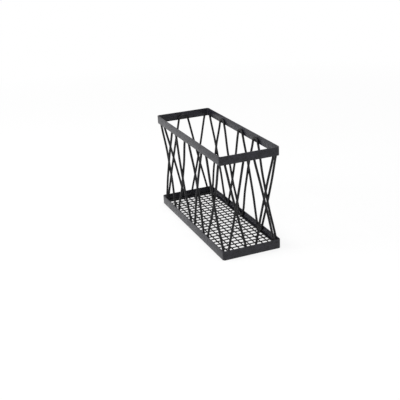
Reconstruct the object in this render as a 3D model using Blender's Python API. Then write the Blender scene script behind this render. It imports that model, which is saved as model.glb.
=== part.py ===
"""Welded steel wire basket with a mesh floor, matt black powder-coated.

Two flat strips, each bent to a rounded rectangle, make the top rim and the tray.
Bent zigzag wires join them, two on each side. A square mesh in a round border wire
makes the floor.

+X runs across the basket, +Y along it from its front end to its back end, +Z up.
The origin is the middle of the plane that the tray stands on.
"""
import math

import bmesh
import bpy
from mathutils import Vector

MM = 0.001

# Outside sizes
BASKET_LENGTH = 280 * MM
BASKET_WIDTH = 101 * MM
BASKET_HEIGHT = 170 * MM

# Flat strips of the top rim and the tray
STRIP_THICKNESS = 1.5 * MM
STRIP_EDGE_ROUNDING = 0.3 * MM
STRIP_CORNER_RADIUS = 4 * MM
RIM_STRIP_HEIGHT = 14 * MM
TRAY_STRIP_HEIGHT = 15.5 * MM

# Round wires of the sides
SIDE_WIRE_DIAMETER = 3.8 * MM
BEND_RADIUS = 9 * MM
BEND_BELOW_RIM_TOP = 6 * MM
BEND_ABOVE_TRAY_FOOT = 7 * MM
END_BEHIND_STRIP = 5 * MM

# Distance of each wire's straight end from the corner, along its side
FIRST_WIRE_FRONT_END = 5.2 * MM
FIRST_WIRE_BACK_END = 12.8 * MM
SECOND_WIRE_END = 9.7 * MM
END_PANEL_RIM_END = 8.7 * MM
END_PANEL_TRAY_END = 10 * MM

# Mesh floor and its border wire
MESH_WIRE_DIAMETER = 2 * MM
MESH_ABOVE_TRAY_FOOT = 0.5 * MM
BORDER_WIRE_DIAMETER = 3 * MM
BORDER_ABOVE_TRAY_FOOT = 1.4 * MM
BORDER_BEND_RADIUS = 4 * MM

# Gap that pieces which touch keep between them
TOUCH_GAP = 0.3 * MM

# The floor's wires, counted across and along the basket, and the gap that they leave
# at the strip as a share of their pitch
LONG_MESH_WIRE_COUNT = 9
CROSS_MESH_WIRE_COUNT = 25
MESH_EDGE_GAP_SHARE = 0.7

# Places of the bends along their side. The wires are bent on a jig by hand, a few
# millimetres off the even quarters, and both long sides use one panel: the right one
# is the left one turned upside down.
FIRST_WIRE_BEND_SHARES = (0.247, 0.481, 0.724)
SECOND_WIRE_BEND_SHARES = (0.277, 0.507, 0.752)
END_PANEL_BEND_SHARES = (0.49,)

# Smoothness of the solids, in counts
CORNER_STEPS = 6
BEND_STEPS = 10
LEG_STEPS = 7
SIDE_WIRE_RESOLUTION = 3
MESH_WIRE_RESOLUTION = 2

POWDER_COAT_COLOUR = (0.022, 0.022, 0.024, 1.0)
POWDER_COAT_ROUGHNESS = 0.5


def clear_scene():
    for old in list(bpy.data.objects):
        bpy.data.objects.remove(old, do_unlink=True)


def powder_coat(name):
    """Matt black powder coat on steel."""
    material = bpy.data.materials.new(name)
    material.use_nodes = True
    shader = material.node_tree.nodes["Principled BSDF"]
    shader.inputs["Base Color"].default_value = POWDER_COAT_COLOUR
    shader.inputs["Roughness"].default_value = POWDER_COAT_ROUGHNESS
    shader.inputs["Metallic"].default_value = 0.0
    return material


def add_object(name, data):
    piece = bpy.data.objects.new(name, data)
    bpy.context.scene.collection.objects.link(piece)
    data.materials.append(powder_coat(name + "_coat"))
    return piece


# Flat strips


def rounded_rectangle(width, length, radius):
    """Corner arcs joined by the straight sides, counter-clockwise seen from above."""
    half_x = width / 2 - radius
    half_y = length / 2 - radius
    centres = ((half_x, half_y), (-half_x, half_y), (-half_x, -half_y), (half_x, -half_y))
    points = []
    for quarter, (centre_x, centre_y) in enumerate(centres):
        for step in range(CORNER_STEPS + 1):
            angle = math.pi / 2 * (quarter + step / CORNER_STEPS)
            points.append((centre_x + radius * math.cos(angle), centre_y + radius * math.sin(angle)))
    return points


def make_strip(name, height, foot):
    """A flat strip on edge, bent round the basket's outline: a ribbon that Solidify thickens inwards."""
    mesh = bpy.data.meshes.new(name)
    form = bmesh.new()
    outline = rounded_rectangle(BASKET_WIDTH, BASKET_LENGTH, STRIP_CORNER_RADIUS)
    lower = [form.verts.new((x, y, foot)) for x, y in outline]
    edges = [form.edges.new((lower[k - 1], lower[k])) for k in range(len(lower))]
    raised = bmesh.ops.extrude_edge_only(form, edges=edges)
    upper = [part for part in raised["geom"] if isinstance(part, bmesh.types.BMVert)]
    bmesh.ops.translate(form, verts=upper, vec=(0, 0, height))
    bmesh.ops.recalc_face_normals(form, faces=form.faces)
    form.faces.ensure_lookup_table()
    first = form.faces[0]
    if first.normal.dot(first.calc_center_median() * Vector((1, 1, 0))) < 0:
        bmesh.ops.reverse_faces(form, faces=form.faces)
    form.to_mesh(mesh)
    form.free()
    mesh.shade_smooth()
    strip = add_object(name, mesh)
    wall = strip.modifiers.new("wall", "SOLIDIFY")
    wall.thickness = STRIP_THICKNESS
    wall.offset = -1
    rounding = strip.modifiers.new("rounded_edges", "BEVEL")
    rounding.width = STRIP_EDGE_ROUNDING
    rounding.segments = 1
    rounding.limit_method = "ANGLE"
    rounding.angle_limit = math.radians(60)
    return strip


# Bent wires of the sides


def run_angle(start, start_turn, end, end_turn):
    """Direction of the straight run between two bends, whose turns are their radii: clockwise is positive."""
    along = end[0] - start[0]
    rise = end[1] - start[1]
    return math.atan2(rise, along) - math.asin((start_turn - end_turn) / math.hypot(along, rise))


def beside(centre, turn, angle):
    """Point where a run in this direction leaves or meets a bend."""
    return (centre[0] - turn * math.sin(angle), centre[1] + turn * math.cos(angle))


def leg_points(start, end):
    """Points of a straight leg: even steps between the two strips, then the end behind the strip."""
    low = max(min(start[1], end[1]), TRAY_STRIP_HEIGHT)
    high = min(max(start[1], end[1]), BASKET_HEIGHT - RIM_STRIP_HEIGHT)
    if start[1] > end[1]:
        low, high = high, low
    points = []
    for step in range(LEG_STEPS + 1):
        height = low + (high - low) * step / LEG_STEPS
        share = (height - start[1]) / (end[1] - start[1])
        points.append((start[0] + (end[0] - start[0]) * share, height))
    points.append(end)
    return points


def bent_path(stops):
    """Straight runs and round bends through stops, each (place along the side, height of the centre, turn)."""
    angles = []
    for before, after in zip(stops, stops[1:]):
        angles.append(run_angle(before[:2], before[2], after[:2], after[2]))
    points = [stops[0][:2]]
    for index, angle in enumerate(angles):
        start = beside(stops[index][:2], stops[index][2], angle)
        end = beside(stops[index + 1][:2], stops[index + 1][2], angle)
        points += leg_points(start, end)
        if index + 1 < len(angles):
            centre = stops[index + 1]
            for step in range(1, BEND_STEPS + 1):
                turned = angle + (angles[index + 1] - angle) * step / BEND_STEPS
                points.append(beside(centre[:2], centre[2], turned))
    return points


def bow_at(height, outer):
    """How far a wire leaves its plane at a height: nothing behind the strips, most where the wires cross.

    The outer wire comes out flush with the strips, and the inner one passes behind it.
    """
    low = TRAY_STRIP_HEIGHT
    high = BASKET_HEIGHT - RIM_STRIP_HEIGHT
    share = min(max((height - low) / (high - low), 0), 1)
    outer_bow = STRIP_THICKNESS + TOUCH_GAP
    inner_bow = SIDE_WIRE_DIAMETER + TOUCH_GAP - outer_bow
    crossing_bow = outer_bow if outer else -inner_bow
    return crossing_bow * (1 - (2 * share - 1) ** 4)


def zigzag_stops(side_length, bend_shares, front_end, back_end, ends_at_rim):
    """Stops of one zigzag wire: an end, bends by turns at one strip and the other, and an end."""
    rim_end = BASKET_HEIGHT - RIM_STRIP_HEIGHT + END_BEHIND_STRIP
    tray_end = TRAY_STRIP_HEIGHT - END_BEHIND_STRIP
    rim_bend = BASKET_HEIGHT - BEND_BELOW_RIM_TOP - BEND_RADIUS
    tray_bend = BEND_ABOVE_TRAY_FOOT + BEND_RADIUS
    end_height = rim_end if ends_at_rim else tray_end
    stops = [(front_end, end_height, 0)]
    at_rim = not ends_at_rim
    for bend_share in bend_shares:
        place = side_length * bend_share
        stops.append((place, rim_bend, BEND_RADIUS) if at_rim else (place, tray_bend, -BEND_RADIUS))
        at_rim = not at_rim
    stops.append((side_length - back_end, end_height, 0))
    return stops


def add_wire(name, points, diameter, resolution, closed=False):
    """A round wire along points, with its ends capped, or joined to each other in a closed ring."""
    curve = bpy.data.curves.new(name, "CURVE")
    curve.dimensions = "3D"
    curve.bevel_depth = diameter / 2
    curve.bevel_resolution = resolution
    curve.use_fill_caps = True
    spline = curve.splines.new("POLY")
    spline.points.add(len(points) - 1)
    for point, (x, y, z) in zip(spline.points, points):
        point.co = (x, y, z, 1)
    spline.use_cyclic_u = closed
    spline.use_smooth = True
    return add_object(name, curve)


def side_wire_points(side, stops, outer):
    """Stands a zigzag wire behind the strips of one side, bowed outwards or inwards where it is crossed."""
    inset = STRIP_THICKNESS + TOUCH_GAP + SIDE_WIRE_DIAMETER / 2
    points = []
    for along, height in bent_path(stops):
        bow = bow_at(height, outer)
        if side in ("left", "right"):
            across = BASKET_WIDTH / 2 - inset + bow
            points.append(Vector((across if side == "right" else -across, along - BASKET_LENGTH / 2, height)))
        else:
            across = BASKET_LENGTH / 2 - inset + bow
            points.append(Vector((along - BASKET_WIDTH / 2, across if side == "back" else -across, height)))
    return points


def make_long_wire(name, points):
    """A long side's wire in two halves, cut through its middle bend behind the strip, where it stays out of sight.

    The halves are simple enough for collision to follow them round the gaps between the crossed wires.
    """
    last = len(points) // 2
    along_cut = (points[last + 1] - points[last]).normalized()
    cut = (points[last] + points[last + 1]) / 2
    front = points[:last + 1] + [cut - along_cut * TOUCH_GAP / 2]
    back = [cut + along_cut * TOUCH_GAP / 2] + points[last + 1:]
    add_wire(name + "_front_half", front, SIDE_WIRE_DIAMETER, SIDE_WIRE_RESOLUTION)
    add_wire(name + "_back_half", back, SIDE_WIRE_DIAMETER, SIDE_WIRE_RESOLUTION)


def make_long_side(side):
    """Left or right panel. The right one stands upside down, so its ends change strips."""
    turned_over = side == "right"
    first = zigzag_stops(
        BASKET_LENGTH, FIRST_WIRE_BEND_SHARES, FIRST_WIRE_FRONT_END, FIRST_WIRE_BACK_END, turned_over
    )
    second = zigzag_stops(
        BASKET_LENGTH, SECOND_WIRE_BEND_SHARES, SECOND_WIRE_END, SECOND_WIRE_END, not turned_over
    )
    make_long_wire(side + "_outer_wire", side_wire_points(side, first, True))
    make_long_wire(side + "_inner_wire", side_wire_points(side, second, False))


def make_short_side(side):
    """Front or back panel: one wire bent once at the rim, the other bent once at the tray."""
    peak = zigzag_stops(BASKET_WIDTH, END_PANEL_BEND_SHARES, END_PANEL_TRAY_END, END_PANEL_TRAY_END, False)
    valley = zigzag_stops(BASKET_WIDTH, END_PANEL_BEND_SHARES, END_PANEL_RIM_END, END_PANEL_RIM_END, True)
    for name, stops, outer in (("_outer_wire", peak, True), ("_inner_wire", valley, False)):
        add_wire(side + name, side_wire_points(side, stops, outer), SIDE_WIRE_DIAMETER, SIDE_WIRE_RESOLUTION)


# Mesh floor


def wire_places(span, count):
    """Places of the wires across a span, one pitch apart and centred."""
    pitch = span / (count - 1 + 2 * MESH_EDGE_GAP_SHARE)
    return [(index - (count - 1) / 2) * pitch for index in range(count)]


def make_border_wire():
    """The round wire inside the tray's foot that carries the mesh, bent round the corners."""
    inset = STRIP_THICKNESS + TOUCH_GAP + BORDER_WIRE_DIAMETER / 2
    level = BORDER_ABOVE_TRAY_FOOT + BORDER_WIRE_DIAMETER / 2
    outline = rounded_rectangle(BASKET_WIDTH - 2 * inset, BASKET_LENGTH - 2 * inset, BORDER_BEND_RADIUS)
    points = [(x, y, level) for x, y in outline]
    add_wire("border_wire", points, BORDER_WIRE_DIAMETER, SIDE_WIRE_RESOLUTION, closed=True)


def make_mesh_floor():
    """Straight wires along the basket with straight wires across them on top, cut off at the border wire."""
    edge = STRIP_THICKNESS + TOUCH_GAP + BORDER_WIRE_DIAMETER + TOUCH_GAP
    end_x = BASKET_WIDTH / 2 - edge
    end_y = BASKET_LENGTH / 2 - edge
    low = MESH_ABOVE_TRAY_FOOT + MESH_WIRE_DIAMETER / 2
    high = low + MESH_WIRE_DIAMETER + TOUCH_GAP
    columns = wire_places(BASKET_WIDTH - 2 * STRIP_THICKNESS, LONG_MESH_WIRE_COUNT)
    rows = wire_places(BASKET_LENGTH - 2 * STRIP_THICKNESS, CROSS_MESH_WIRE_COUNT)
    for index, x in enumerate(columns):
        points = [(x, -end_y, low), (x, end_y, low)]
        add_wire(f"mesh_long_wire_{index + 1}", points, MESH_WIRE_DIAMETER, MESH_WIRE_RESOLUTION)
    for index, y in enumerate(rows):
        points = [(-end_x, y, high), (end_x, y, high)]
        add_wire(f"mesh_cross_wire_{index + 1:02d}", points, MESH_WIRE_DIAMETER, MESH_WIRE_RESOLUTION)


def main():
    clear_scene()
    make_strip("top_rim", RIM_STRIP_HEIGHT, BASKET_HEIGHT - RIM_STRIP_HEIGHT)
    make_strip("tray_rim", TRAY_STRIP_HEIGHT, 0)
    for side in ("left", "right"):
        make_long_side(side)
    for side in ("front", "back"):
        make_short_side(side)
    make_border_wire()
    make_mesh_floor()


main()
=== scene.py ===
"""Looks of a black powder-coated wire basket: bent strips, zigzag side wires and a welded mesh floor."""

import math

import bpy
from mathutils import Euler, Matrix, Vector


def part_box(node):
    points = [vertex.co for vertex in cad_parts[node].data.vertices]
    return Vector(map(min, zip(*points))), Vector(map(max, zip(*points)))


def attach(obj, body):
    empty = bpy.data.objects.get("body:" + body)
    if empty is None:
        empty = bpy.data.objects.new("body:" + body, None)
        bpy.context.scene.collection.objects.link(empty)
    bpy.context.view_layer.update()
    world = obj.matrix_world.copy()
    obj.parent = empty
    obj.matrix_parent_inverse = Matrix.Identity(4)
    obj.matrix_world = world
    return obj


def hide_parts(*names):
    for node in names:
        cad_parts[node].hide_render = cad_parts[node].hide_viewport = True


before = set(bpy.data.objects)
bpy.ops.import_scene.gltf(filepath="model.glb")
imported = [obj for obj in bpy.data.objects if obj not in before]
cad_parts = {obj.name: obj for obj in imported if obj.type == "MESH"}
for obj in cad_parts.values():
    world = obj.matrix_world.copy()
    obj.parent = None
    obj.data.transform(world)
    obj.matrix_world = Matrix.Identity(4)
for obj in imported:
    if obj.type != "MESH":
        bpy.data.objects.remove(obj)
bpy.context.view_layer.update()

MM = 0.001

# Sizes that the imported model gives
RIM_LOW, RIM_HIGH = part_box("top_rim")
TRAY_LOW, TRAY_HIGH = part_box("tray_rim")
BORDER_LOW, BORDER_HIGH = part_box("border_wire")
BASKET_WIDTH = RIM_HIGH.x - RIM_LOW.x
BASKET_LENGTH = RIM_HIGH.y - RIM_LOW.y
BASKET_HEIGHT = RIM_HIGH.z

# Flat strips
STRIP_THICKNESS = 1.5 * MM
STRIP_CORNER_RADIUS = 4 * MM
STRIP_EDGE_ROUNDING = 0.35 * MM
EASED_EDGE_ANGLE = math.radians(60)

# Side wires. A wire bows out of its plane within the bow's share of the free height, from either strip.
SIDE_WIRE_DIAMETER = 3.8 * MM
BEND_RADIUS = 9 * MM
BEND_BELOW_RIM_TOP = 6 * MM
BEND_ABOVE_TRAY_FOOT = 7 * MM
END_BEHIND_STRIP = 5 * MM
WIRE_END_ROUNDING = 1.2 * MM
BOW_SHARE = 0.35
FIRST_WIRE_FRONT_END = 5.2 * MM
FIRST_WIRE_BACK_END = 12.8 * MM
SECOND_WIRE_END = 9.7 * MM
END_PANEL_RIM_END = 8.7 * MM
END_PANEL_TRAY_END = 10 * MM
FIRST_WIRE_BEND_SHARES = (0.247, 0.481, 0.724)
SECOND_WIRE_BEND_SHARES = (0.277, 0.507, 0.752)
END_PANEL_BEND_SHARES = (0.49,)

# Mesh floor
MESH_WIRE_DIAMETER = 2 * MM
LONG_WIRE_COUNT = 9
CROSS_WIRE_COUNT = 25
BORDER_WIRE_DIAMETER = BORDER_HIGH.z - BORDER_LOW.z
BORDER_BEND_RADIUS = 4 * MM

# Welds: how far a wire is pressed into what it is welded to, and the beads' half sizes off the strip, along
# the wire and across it
WELD_SINK = 0.15 * MM
STRIP_WELD_SIZE = (0.9 * MM, 3.0 * MM, 2.5 * MM)
CROSSING_WELD_SIZE = (0.75 * MM, 2.7 * MM, 1.9 * MM)
MESH_WELD_SIZE = (0.5 * MM, 1.1 * MM, 1.1 * MM)

# A bead's toe: how much wider it is than the bead, and its top and its cut-off back, as shares of the half
# thickness
WELD_TOE_WIDENING = 1.12
WELD_TOE_TOP = 0.05
WELD_CUT = -0.3

# Coat: size and depth of its grain and of the longer waves of its film. The real grain is about 0.3 mm. It is
# drawn coarser, so that it isn't lost between the picture's dots.
GRAIN_SIZE = 2.2 * MM
GRAIN_DEPTH = 0.1 * MM
FILM_WAVE_SIZE = 8 * MM
FILM_WAVE_DEPTH = 0.15 * MM
PATTERN_DETAIL = 2.0

# How much the film's waves cloud the coat beside the grain, whose deeper tint in its pits is painted shade,
# how far both swing before the tint is full, and how much the roughness swings
FILM_PART = 0.4
CLOUD_SPREAD = 0.2
ROUGHNESS_SWING = 0.15

# Smoothness, in counts
CORNER_STEPS = 10
LEG_STEPS = 14
BEND_STEPS = 14
EASING_STEPS = 3
SIDE_WIRE_ROUNDNESS = 5
BORDER_WIRE_ROUNDNESS = 4
MESH_WIRE_ROUNDNESS = 3
BEAD_SEGMENTS = 16
BEAD_RINGS = 8

# Faces that meet at less than this look smooth, and points of a wire that are closer than this are one
SMOOTH_ANGLE = math.radians(50)
MERGE_DISTANCE = 0.01 * MM

# Camera, matched to the photograph
CAMERA_PLACE = (-0.4428, -1.0653, 0.5014)
CAMERA_HEADING = math.radians(21.18)
CAMERA_TILT = math.radians(21.57)
CAMERA_ROLL = math.radians(-3.08)
CAMERA_LENS_MM = 64.61
CAMERA_SENSOR_MM = 36

# Studio: it is white to look at up to the first rise of the view and greyest from the second on
WHITE_RISE = 0.02
GREY_RISE = 0.3
GREY_LEVEL = 0.8
STUDIO_LIGHT = 0.45
LAMP_AIM = (0, 0, 0.08)

# Floor, in metres and shares: partly matt close to the basket, and all glow far from it
FLOOR_SIZE = 30
PAPER_WHITENESS = 0.9
CLOSE_DISTANCE = 0.3
FAR_DISTANCE = 1.5
CLOSE_MATT_SHARE = 0.2
CLOSE_GLOW = 0.77


def srgb(code):
    """A colour's sRGB hex code, turned to linear."""
    levels = [int(code[index:index + 2], 16) / 255 for index in (1, 3, 5)]
    linear = [level / 12.92 if level <= 0.04045 else ((level + 0.055) / 1.055) ** 2.4 for level in levels]
    return (*linear, 1.0)


def add_node(tree, kind, settings=None, values=None, links=None):
    """Adds a node with its settings, its sockets' values and the links into its sockets."""
    node = tree.nodes.new(kind)
    for name, value in (settings or {}).items():
        setattr(node, name, value)
    for name, value in (values or {}).items():
        node.inputs[name].default_value = value
    for name, source in (links or {}).items():
        tree.links.new(source, node.inputs[name])
    return node


# Camera, light and floor


def make_camera():
    turn = Euler((math.pi / 2 - CAMERA_TILT, 0, -CAMERA_HEADING)).to_matrix()
    roll = Matrix.Rotation(CAMERA_ROLL, 3, "Z")
    bpy.ops.object.camera_add(location=CAMERA_PLACE, rotation=(turn @ roll).to_euler())
    camera = bpy.context.object
    camera.data.lens = CAMERA_LENS_MM
    camera.data.sensor_width = CAMERA_SENSOR_MM
    camera.data.clip_start = 0.01
    bpy.context.scene.camera = camera


def seen_directly(tree):
    """1 for rays from the camera, from a gloss or through glass, and 0 for the rest."""
    path = add_node(tree, "ShaderNodeLightPath")
    glossy = add_node(
        tree, "ShaderNodeMath", {"operation": "MAXIMUM"},
        links={0: path.outputs["Is Camera Ray"], 1: path.outputs["Is Glossy Ray"]},
    )
    return add_node(
        tree, "ShaderNodeMath", {"operation": "MAXIMUM"},
        links={0: glossy.outputs[0], 1: path.outputs["Is Transmission Ray"]},
    ).outputs[0]


def make_world():
    """A studio that is white at the horizon and greyer overhead, and lights the basket at half strength."""
    world = bpy.data.worlds.new("studio")
    world.use_nodes = True
    bpy.context.scene.world = world
    tree = world.node_tree
    background = tree.nodes["Background"]
    background.inputs["Color"].default_value = (1, 1, 1, 1)
    direction = add_node(tree, "ShaderNodeTexCoord").outputs["Generated"]
    rise = add_node(tree, "ShaderNodeSeparateXYZ", links={0: direction}).outputs["Z"]
    wall = add_node(
        tree, "ShaderNodeMapRange",
        values={"From Min": WHITE_RISE, "From Max": GREY_RISE, "To Min": 1.0, "To Max": GREY_LEVEL},
        links={"Value": rise},
    ).outputs[0]
    strength = add_node(
        tree, "ShaderNodeMapRange", values={"To Min": STUDIO_LIGHT},
        links={"Value": seen_directly(tree), "To Max": wall},
    )
    tree.links.new(strength.outputs[0], background.inputs["Strength"])


def white_floor():
    """Matt white paper. Its white glow keeps it white to look at, with a faint shadow round the basket."""
    material = bpy.data.materials.new("matt_white_paper")
    material.use_nodes = True
    tree = material.node_tree
    tree.nodes.clear()
    seen = seen_directly(tree)
    place = add_node(tree, "ShaderNodeTexCoord").outputs["Object"]
    distance = add_node(
        tree, "ShaderNodeVectorMath", {"operation": "LENGTH"}, links={0: place}
    ).outputs["Value"]
    ranges = {"From Min": CLOSE_DISTANCE, "From Max": FAR_DISTANCE}
    matt_share = add_node(
        tree, "ShaderNodeMapRange", values={**ranges, "To Min": CLOSE_MATT_SHARE, "To Max": 0.0},
        links={"Value": distance},
    ).outputs[0]
    glow_level = add_node(
        tree, "ShaderNodeMapRange", values={**ranges, "To Min": CLOSE_GLOW, "To Max": 1.0},
        links={"Value": distance},
    ).outputs[0]
    shade = add_node(
        tree, "ShaderNodeMapRange", values={"To Min": PAPER_WHITENESS},
        links={"Value": seen, "To Max": matt_share},
    )
    paper = add_node(tree, "ShaderNodeBsdfDiffuse", links={"Color": shade.outputs[0]})
    strength = add_node(tree, "ShaderNodeMath", {"operation": "MULTIPLY"}, links={0: seen, 1: glow_level})
    glow = add_node(
        tree, "ShaderNodeEmission", values={"Color": (1, 1, 1, 1)}, links={"Strength": strength.outputs[0]}
    )
    both = add_node(tree, "ShaderNodeAddShader", links={0: paper.outputs[0], 1: glow.outputs[0]})
    add_node(tree, "ShaderNodeOutputMaterial", links={"Surface": both.outputs[0]})
    return material


def make_floor():
    deselect_all()
    bpy.ops.mesh.primitive_plane_add(size=FLOOR_SIZE, location=(0, 0, 0))
    floor = bpy.context.object
    floor.name = "floor"
    floor.data.materials.append(white_floor())


def make_lamps():
    """A large soft lamp on the left and a weak one above."""
    for name, place, size, power in (
        ("left_softbox", (-1.6, 0.3, 1.0), 1.2, 26),
        ("top_softbox", (0.2, -0.2, 2.0), 1.5, 22),
    ):
        toward = Vector(LAMP_AIM) - Vector(place)
        turn = toward.to_track_quat("-Z", "Y").to_euler()
        bpy.ops.object.light_add(type="AREA", location=place, rotation=turn)
        lamp = bpy.context.object
        lamp.name = name
        lamp.data.shape = "DISK"
        lamp.data.size = size
        lamp.data.energy = power


# Finish


def powder_coat(name, deep, pale, roughness, gloss_level, unevenness):
    """Matt blue-black polyester powder coat, baked on steel: dull gloss, clouded by orange peel and by
    painted shade in its grain's pits.
    """
    material = bpy.data.materials.new(name)
    material.use_nodes = True
    tree = material.node_tree
    shader = tree.nodes["Principled BSDF"]
    shader.inputs["IOR"].default_value = 1.5
    shader.inputs["Specular IOR Level"].default_value = gloss_level
    place = add_node(tree, "ShaderNodeTexCoord").outputs["Object"]
    film = add_node(
        tree, "ShaderNodeTexNoise", values={"Scale": 1 / FILM_WAVE_SIZE, "Detail": PATTERN_DETAIL},
        links={"Vector": place},
    ).outputs["Fac"]
    grain = add_node(
        tree, "ShaderNodeTexNoise", values={"Scale": 1 / GRAIN_SIZE, "Detail": PATTERN_DETAIL},
        links={"Vector": place},
    ).outputs["Fac"]
    # The coat is paler and smoother where the grain and, less so, the film stand high, and deeper in the
    # pits. The deeper colour in
    # # the grain's pits is painted shade; the film's paler and deeper patches are its real uneven tone
    stand = add_node(
        tree, "ShaderNodeMath", {"operation": "MULTIPLY_ADD"}, {1: FILM_PART}, {0: film, 2: grain}
    ).outputs[0]
    middle_stand = (1 + FILM_PART) / 2
    high_share = add_node(
        tree, "ShaderNodeMapRange",
        values={"From Min": middle_stand - CLOUD_SPREAD, "From Max": middle_stand + CLOUD_SPREAD},
        links={"Value": stand},
    ).outputs[0]
    # Base colour: real tone from the film's thickness, with painted shade deeper in the grain's pits
    tint_and_pit_shade = add_node(
        tree, "ShaderNodeMix", {"data_type": "RGBA"}, {"A": srgb(deep), "B": srgb(pale)},
        {"Factor": high_share},
    )
    swing = ROUGHNESS_SWING * unevenness
    dullness = add_node(
        tree, "ShaderNodeMapRange", values={"To Min": roughness + swing, "To Max": roughness - swing},
        links={"Value": high_share},
    )
    pits = add_node(
        tree, "ShaderNodeBump", values={"Strength": unevenness, "Distance": GRAIN_DEPTH},
        links={"Height": grain},
    )
    waves = add_node(
        tree, "ShaderNodeBump", values={"Strength": unevenness, "Distance": FILM_WAVE_DEPTH},
        links={"Height": film, "Normal": pits.outputs[0]},
    )
    tree.links.new(tint_and_pit_shade.outputs["Result"], shader.inputs["Base Color"])
    tree.links.new(dullness.outputs[0], shader.inputs["Roughness"])
    tree.links.new(waves.outputs[0], shader.inputs["Normal"])
    return material


# Modelling helpers


def deselect_all():
    if bpy.context.view_layer.objects.active and bpy.context.object.mode == "EDIT":
        bpy.ops.object.mode_set(mode="OBJECT")
    bpy.ops.object.select_all(action="DESELECT")


def pick(piece, parts, test):
    """Selects the faces, edges or vertices of a piece in edit mode that pass a test, and nothing else."""
    bpy.ops.mesh.select_mode(type={"polygons": "FACE", "edges": "EDGE", "vertices": "VERT"}[parts])
    bpy.ops.mesh.select_all(action="DESELECT")
    bpy.ops.object.mode_set(mode="OBJECT")
    for part in getattr(piece.data, parts):
        part.select = test(part)
    bpy.ops.object.mode_set(mode="EDIT")


def start_line(name, point):
    """A single point in edit mode, which extrude and spin then draw into a line."""
    deselect_all()
    bpy.ops.mesh.primitive_plane_add(size=MM, location=(0, 0, 0))
    line = bpy.context.object
    line.name = name
    bpy.ops.object.mode_set(mode="EDIT")
    bpy.ops.mesh.select_mode(type="VERT")
    bpy.ops.mesh.select_all(action="SELECT")
    bpy.ops.mesh.merge(type="CENTER")
    bpy.ops.transform.translate(value=point)


def draw_to(start, end):
    bpy.ops.mesh.extrude_region_move(TRANSFORM_OT_translate={"value": Vector(end) - Vector(start)})


def thicken_line(diameter, resolution):
    """Gives the line that is being drawn a round section and closes its ends."""
    bpy.ops.object.mode_set(mode="OBJECT")
    bpy.ops.object.convert(target="CURVE")
    wire = bpy.context.object
    wire.data.bevel_depth = diameter / 2
    wire.data.bevel_resolution = resolution
    wire.data.use_fill_caps = True
    bpy.ops.object.convert(target="MESH")
    wire = bpy.context.object
    bpy.ops.object.mode_set(mode="EDIT")
    bpy.ops.mesh.select_mode(type="VERT")
    bpy.ops.mesh.select_all(action="SELECT")
    bpy.ops.mesh.remove_doubles(threshold=MERGE_DISTANCE)
    bpy.ops.mesh.normals_make_consistent(inside=False)
    bpy.ops.object.mode_set(mode="OBJECT")
    bpy.ops.object.shade_smooth_by_angle(angle=SMOOTH_ANGLE)
    return wire


def round_ends(wire, rounding):
    """Rounds the rims of a wire's cut ends, as the coat does."""
    bpy.ops.object.mode_set(mode="EDIT")
    pick(wire, "polygons", lambda face: len(face.vertices) > 4)
    bpy.ops.mesh.bevel(offset=rounding, segments=EASING_STEPS)
    bpy.ops.object.mode_set(mode="OBJECT")
    bpy.ops.object.shade_smooth_by_angle(angle=SMOOTH_ANGLE)


def finish_piece(piece, material, slot, *nodes):
    piece.data.materials.clear()
    piece.data.materials.append(material)
    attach(piece, "root")
    if nodes:
        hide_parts(*nodes)


def lay_copy(pattern, name, placement):
    """A copy of a pattern with its own mesh, moved and turned to its place there."""
    deselect_all()
    pattern.select_set(True)
    bpy.context.view_layer.objects.active = pattern
    bpy.ops.object.duplicate(linked=False)
    copy = bpy.context.object
    copy.name = name
    copy.matrix_world = placement
    bpy.ops.object.transform_apply(location=True, rotation=True, scale=True)
    return copy


def join_pieces(name, pieces):
    deselect_all()
    for piece in pieces:
        piece.select_set(True)
    bpy.context.view_layer.objects.active = pieces[0]
    bpy.ops.object.join()
    pieces[0].name = name
    return pieces[0]


# Strips


def height_of(piece, edge):
    ends = [piece.data.vertices[index].co.z for index in edge.vertices]
    return max(ends) - min(ends)


def make_strip(name, foot, top, node, material):
    """A flat strip bent on edge to a rounded rectangle, its edges eased by the coat."""
    deselect_all()
    bpy.ops.mesh.primitive_cube_add(
        size=1, location=(0, 0, (foot + top) / 2), scale=(BASKET_WIDTH, BASKET_LENGTH, top - foot)
    )
    strip = bpy.context.object
    strip.name = name
    bpy.ops.object.transform_apply(location=True, rotation=True, scale=True)
    bpy.ops.object.mode_set(mode="EDIT")
    pick(strip, "polygons", lambda face: abs(face.normal.z) > 0.5)
    bpy.ops.mesh.delete(type="ONLY_FACE")
    pick(strip, "edges", lambda edge: height_of(strip, edge) > (top - foot) / 2)
    bpy.ops.mesh.bevel(offset=STRIP_CORNER_RADIUS, segments=CORNER_STEPS)
    bpy.ops.object.mode_set(mode="OBJECT")
    wall = strip.modifiers.new("wall", "SOLIDIFY")
    wall.thickness = STRIP_THICKNESS
    wall.offset = -1
    bpy.ops.object.modifier_apply(modifier=wall.name)
    eased = strip.modifiers.new("eased_edges", "BEVEL")
    eased.width = STRIP_EDGE_ROUNDING
    eased.segments = EASING_STEPS
    eased.limit_method = "ANGLE"
    eased.angle_limit = EASED_EDGE_ANGLE
    bpy.ops.object.modifier_apply(modifier=eased.name)
    bpy.ops.object.shade_smooth_by_angle(angle=SMOOTH_ANGLE)
    finish_piece(strip, material, "coated_strip", node)


# Zigzag side wires


def run_angle(start, start_turn, end, end_turn):
    """Direction of the straight run between two bends, whose turns are their radii: clockwise is positive."""
    along = end[0] - start[0]
    rise = end[1] - start[1]
    return math.atan2(rise, along) - math.asin((start_turn - end_turn) / math.hypot(along, rise))


def beside(centre, turn, angle):
    """Point where a run in this direction leaves or meets a bend."""
    return (centre[0] - turn * math.sin(angle), centre[1] + turn * math.cos(angle))


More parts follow.
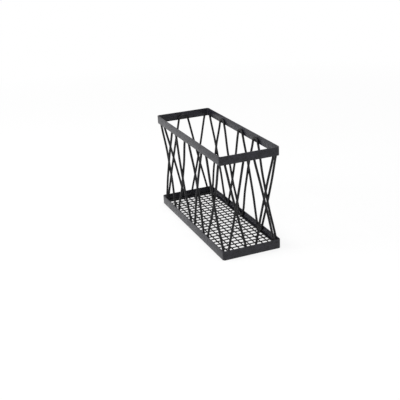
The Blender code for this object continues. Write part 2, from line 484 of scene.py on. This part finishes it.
def zigzag_stops(side_length, bend_shares, front_end, back_end, ends_at_rim):
    """Stops of one zigzag wire: an end, bends by turns at one strip and the other, and an end."""
    end_height = RIM_LOW.z + END_BEHIND_STRIP if ends_at_rim else TRAY_HIGH.z - END_BEHIND_STRIP
    rim_bend = BASKET_HEIGHT - BEND_BELOW_RIM_TOP - BEND_RADIUS
    tray_bend = BEND_ABOVE_TRAY_FOOT + BEND_RADIUS
    stops = [(front_end, end_height, 0)]
    at_rim = not ends_at_rim
    for bend_share in bend_shares:
        place = side_length * bend_share
        stops.append((place, rim_bend, BEND_RADIUS) if at_rim else (place, tray_bend, -BEND_RADIUS))
        at_rim = not at_rim
    stops.append((side_length - back_end, end_height, 0))
    return stops


def legs_of(stops):
    """Straight legs between the stops, each (start, end, angle)."""
    legs = []
    for before, after in zip(stops, stops[1:]):
        angle = run_angle(before[:2], before[2], after[:2], after[2])
        legs.append((beside(before[:2], before[2], angle), beside(after[:2], after[2], angle), angle))
    return legs


def bow_at(height, outer):
    """How far a wire leaves its plane: nothing behind the strips, most where it crosses the other wire."""
    share = (height - TRAY_HIGH.z) / (RIM_LOW.z - TRAY_HIGH.z)
    reach = min(max(min(share, 1 - share) / BOW_SHARE, 0), 1)
    outer_bow = STRIP_THICKNESS - WELD_SINK
    inner_bow = SIDE_WIRE_DIAMETER - WELD_SINK - outer_bow
    return (outer_bow if outer else -inner_bow) * reach * reach * (3 - 2 * reach)


def on_side(side, along, height, bow):
    """Place of a point of a side's panel. A positive bow leads outwards."""
    inset = STRIP_THICKNESS + SIDE_WIRE_DIAMETER / 2 - WELD_SINK
    if side in ("left", "right"):
        across = BASKET_WIDTH / 2 - inset + bow
        return Vector((across if side == "right" else -across, along - BASKET_LENGTH / 2, height))
    across = BASKET_LENGTH / 2 - inset + bow
    return Vector((along - BASKET_WIDTH / 2, across if side == "back" else -across, height))


def make_side_wire(side, layer, stops, material):
    """Draws a zigzag wire leg by leg, with spins for its bends, and gives it its round section."""
    last = on_side(side, *stops[0][:2], 0)
    start_line(f"{side}_{layer}_zigzag", last)
    axis = (1, 0, 0) if side in ("left", "right") else (0, -1, 0)
    legs = legs_of(stops)
    for index, (leg_start, leg_end, angle) in enumerate(legs):
        for step in range(1, LEG_STEPS + 1):
            share = step / LEG_STEPS
            along = leg_start[0] + (leg_end[0] - leg_start[0]) * share
            height = leg_start[1] + (leg_end[1] - leg_start[1]) * share
            point = on_side(side, along, height, bow_at(height, layer == "outer"))
            draw_to(last, point)
            last = point
        if index + 1 < len(legs):
            centre = stops[index + 1]
            bpy.ops.mesh.spin(
                steps=BEND_STEPS, angle=angle - legs[index + 1][2],
                center=on_side(side, *centre[:2], 0), axis=axis,
            )
            last = on_side(side, *legs[index + 1][0], 0)
    wire = thicken_line(SIDE_WIRE_DIAMETER, SIDE_WIRE_ROUNDNESS)
    round_ends(wire, WIRE_END_ROUNDING)
    halves = ("_front_half", "_back_half") if side in ("left", "right") else ("",)
    finish_piece(wire, material, "coated_side_wire", *[f"{side}_{layer}_wire{half}" for half in halves])


def panel_stops(side):
    """Stops of the outer and of the inner wire of a side."""
    if side in ("left", "right"):
        turned_over = side == "right"
        outer = zigzag_stops(
            BASKET_LENGTH, FIRST_WIRE_BEND_SHARES, FIRST_WIRE_FRONT_END, FIRST_WIRE_BACK_END, turned_over
        )
        inner = zigzag_stops(
            BASKET_LENGTH, SECOND_WIRE_BEND_SHARES, SECOND_WIRE_END, SECOND_WIRE_END, not turned_over
        )
        return outer, inner
    outer = zigzag_stops(BASKET_WIDTH, END_PANEL_BEND_SHARES, END_PANEL_TRAY_END, END_PANEL_TRAY_END, False)
    inner = zigzag_stops(BASKET_WIDTH, END_PANEL_BEND_SHARES, END_PANEL_RIM_END, END_PANEL_RIM_END, True)
    return outer, inner


# Welds


def make_weld(name, size, on_strip):
    """A small bead that flowed out under a wire: thickness off the strip on X, length on Y and width on Z."""
    deselect_all()
    bpy.ops.mesh.primitive_uv_sphere_add(
        segments=BEAD_SEGMENTS, ring_count=BEAD_RINGS, radius=1, location=(0, 0, 0), scale=size
    )
    weld = bpy.context.object
    weld.name = name
    bpy.ops.object.transform_apply(location=True, rotation=True, scale=True)
    bpy.ops.object.mode_set(mode="EDIT")
    bpy.ops.mesh.select_mode(type="VERT")
    bpy.ops.mesh.select_all(action="SELECT")
    if on_strip:
        bpy.ops.mesh.bisect(
            plane_co=(size[0] * WELD_CUT, 0, 0), plane_no=(1, 0, 0), use_fill=True, clear_inner=True
        )
    pick(weld, "vertices", lambda vertex: vertex.co.x < size[0] * WELD_TOE_TOP)
    bpy.ops.transform.resize(value=(1, WELD_TOE_WIDENING, WELD_TOE_WIDENING))
    bpy.ops.object.mode_set(mode="OBJECT")
    bpy.ops.object.shade_smooth_by_angle(angle=SMOOTH_ANGLE)
    return weld


def weld_placement(side, along, height, bow, angle):
    """Stands a weld on a side's panel, its length in the wire's direction and its thickness inwards."""
    point = on_side(side, along, height, bow)
    ahead = on_side(side, along + math.cos(angle) * MM, height + math.sin(angle) * MM, bow) - point
    inwards = on_side(side, along, height, bow - MM) - point
    lengthwise = ahead.normalized()
    thickness = inwards.normalized()
    turn = Matrix((thickness, lengthwise, thickness.cross(lengthwise))).transposed()
    return Matrix.Translation(point) @ turn.to_4x4()


def crossing_of(first, second):
    """Where two legs cross, or nothing."""
    (ax, ay), (bx, by), _ = first
    (cx, cy), (dx, dy), _ = second
    spread = (bx - ax) * (dy - cy) - (by - ay) * (dx - cx)
    if abs(spread) < 1e-9:
        return None
    share = ((cx - ax) * (dy - cy) - (cy - ay) * (dx - cx)) / spread
    other = ((cx - ax) * (by - ay) - (cy - ay) * (bx - ax)) / spread
    height = ay + (by - ay) * share
    if 0 < share < 1 and 0 < other < 1 and TRAY_HIGH.z < height < RIM_LOW.z:
        return ax + (bx - ax) * share, height
    return None


def make_side_welds(material_of_strip, material_of_wire):
    """Beads under the wires' ends and bends on the strips, and between the wires where they cross."""
    strip_bead = make_weld("strip_bead", STRIP_WELD_SIZE, True)
    crossing_bead = make_weld("crossing_bead", CROSSING_WELD_SIZE, False)
    face = SIDE_WIRE_DIAMETER / 2 - WELD_SINK
    contact = STRIP_THICKNESS - (SIDE_WIRE_DIAMETER + WELD_SINK) / 2
    on_rim = []
    on_tray = []
    between = []
    for side in ("left", "right", "front", "back"):
        outer, inner = panel_stops(side)
        for stops in (outer, inner):
            legs = legs_of(stops)
            spots = []
            for (along, height, _), angle, way in ((stops[0], legs[0][2], 1), (stops[-1], legs[-1][2], -1)):
                back = way * END_BEHIND_STRIP / 2
                spots.append((along + back * math.cos(angle), height + back * math.sin(angle), angle))
            for along, height, turn in stops[1:-1]:
                spots.append((along, height + turn, 0))
            for along, height, angle in spots:
                placement = weld_placement(side, along, height, face, angle)
                pieces = on_rim if height > BASKET_HEIGHT / 2 else on_tray
                pieces.append(lay_copy(strip_bead, "bead", placement))
        for first in legs_of(outer):
            for second in legs_of(inner):
                crossing = crossing_of(first, second)
                if crossing:
                    placement = weld_placement(side, *crossing, contact, math.pi / 2)
                    between.append(lay_copy(crossing_bead, "bead", placement))
    finish_piece(join_pieces("rim_welds", on_rim), material_of_strip, "coated_strip")
    finish_piece(join_pieces("tray_welds", on_tray), material_of_strip, "coated_strip")
    finish_piece(join_pieces("crossing_welds", between), material_of_wire, "coated_side_wire")
    bpy.data.objects.remove(strip_bead)
    bpy.data.objects.remove(crossing_bead)


# Mesh floor


def middle(node, axis):
    """Middle of a CAD node's box along one axis."""
    low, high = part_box(node)
    return (low[axis] + high[axis]) / 2


def make_border_wire(material):
    """The round wire inside the tray's foot that carries the mesh: a rectangle with bent corners."""
    inset = STRIP_THICKNESS - WELD_SINK + BORDER_WIRE_DIAMETER / 2
    deselect_all()
    bpy.ops.mesh.primitive_plane_add(size=1, location=(0, 0, middle("border_wire", 2)))
    border = bpy.context.object
    border.name = "mesh_border"
    border.scale = (BASKET_WIDTH - 2 * inset, BASKET_LENGTH - 2 * inset, 1)
    bpy.ops.object.transform_apply(location=True, rotation=True, scale=True)
    bpy.ops.object.mode_set(mode="EDIT")
    bpy.ops.mesh.select_mode(type="VERT")
    bpy.ops.mesh.select_all(action="SELECT")
    bpy.ops.mesh.bevel(offset=BORDER_BEND_RADIUS, segments=CORNER_STEPS, affect="VERTICES")
    bpy.ops.mesh.select_all(action="SELECT")
    bpy.ops.mesh.delete(type="ONLY_FACE")
    border = thicken_line(BORDER_WIRE_DIAMETER, BORDER_WIRE_ROUNDNESS)
    finish_piece(border, material, "coated_side_wire", "border_wire")


def make_straight_wire(name, start, end):
    start_line(name, start)
    draw_to(start, end)
    return thicken_line(MESH_WIRE_DIAMETER, MESH_WIRE_ROUNDNESS)


def make_mesh_welds(first_place, column_gap, row_gap, material):
    """One small weld, laid flat and repeated across the mesh and along it."""
    weld = make_weld("mesh_welds", MESH_WELD_SIZE, False)
    weld.matrix_world = Matrix.Translation(first_place) @ Matrix.Rotation(math.pi / 2, 4, "Y")
    bpy.ops.object.transform_apply(location=True, rotation=True, scale=True)
    for modifier_name, count, offset in (
        ("across", LONG_WIRE_COUNT, (column_gap, 0, 0)),
        ("along", CROSS_WIRE_COUNT, (0, row_gap, 0)),
    ):
        repeat = weld.modifiers.new(modifier_name, "ARRAY")
        repeat.count = count
        repeat.use_relative_offset = False
        repeat.use_constant_offset = True
        repeat.constant_offset_displace = offset
        bpy.ops.object.modifier_apply(modifier=modifier_name)
    finish_piece(weld, material, "coated_mesh_wire")


def make_mesh(material):
    """Straight wires, each kind modelled once and copied across the floor, with a weld at every crossing."""
    columns = [middle(f"mesh_long_wire_{index + 1}", 0) for index in range(LONG_WIRE_COUNT)]
    rows = [middle(f"mesh_cross_wire_{index + 1:02d}", 1) for index in range(CROSS_WIRE_COUNT)]
    low = middle("mesh_long_wire_1", 2)
    high = low + MESH_WIRE_DIAMETER - WELD_SINK
    edge = STRIP_THICKNESS + BORDER_WIRE_DIAMETER - 3 * WELD_SINK
    end_x = BASKET_WIDTH / 2 - edge
    end_y = BASKET_LENGTH / 2 - edge
    long_wire = make_straight_wire("long_wire", (0, -end_y, low), (0, end_y, low))
    for index, x in enumerate(columns):
        wire = lay_copy(long_wire, f"mesh_long_{index + 1}", Matrix.Translation((x, 0, 0)))
        finish_piece(wire, material, "coated_mesh_wire", f"mesh_long_wire_{index + 1}")
    bpy.data.objects.remove(long_wire)
    cross_wire = make_straight_wire("cross_wire", (-end_x, 0, high), (end_x, 0, high))
    for index, y in enumerate(rows):
        wire = lay_copy(cross_wire, f"mesh_cross_{index + 1:02d}", Matrix.Translation((0, y, 0)))
        finish_piece(wire, material, "coated_mesh_wire", f"mesh_cross_wire_{index + 1:02d}")
    bpy.data.objects.remove(cross_wire)
    contact = Vector((columns[0], rows[0], (low + high) / 2))
    make_mesh_welds(contact, columns[1] - columns[0], rows[1] - rows[0], material)


make_camera()
make_world()
make_floor()
make_lamps()
# Each coat runs from a deep to a pale colour; the deep end in the grain's pits is painted shade
strip_coat = powder_coat("strip_powder_coat", "#060609", "#292932", 0.35, 0.34, 0.8)
wire_coat = powder_coat("wire_powder_coat", "#0A0A0C", "#131316", 0.45, 0.24, 0.3)
mesh_coat = powder_coat("mesh_powder_coat", "#0A0A0C", "#131316", 0.5, 0.19, 0.3)
make_strip("rim_strip", RIM_LOW.z, RIM_HIGH.z, "top_rim", strip_coat)
make_strip("tray_strip", TRAY_LOW.z, TRAY_HIGH.z, "tray_rim", strip_coat)
for side_name in ("left", "right", "front", "back"):
    outer_stops, inner_stops = panel_stops(side_name)
    make_side_wire(side_name, "outer", outer_stops, wire_coat)
    make_side_wire(side_name, "inner", inner_stops, wire_coat)
make_side_welds(strip_coat, wire_coat)
make_border_wire(wire_coat)
make_mesh(mesh_coat)

bpy.context.scene.view_settings.view_transform = "Standard"
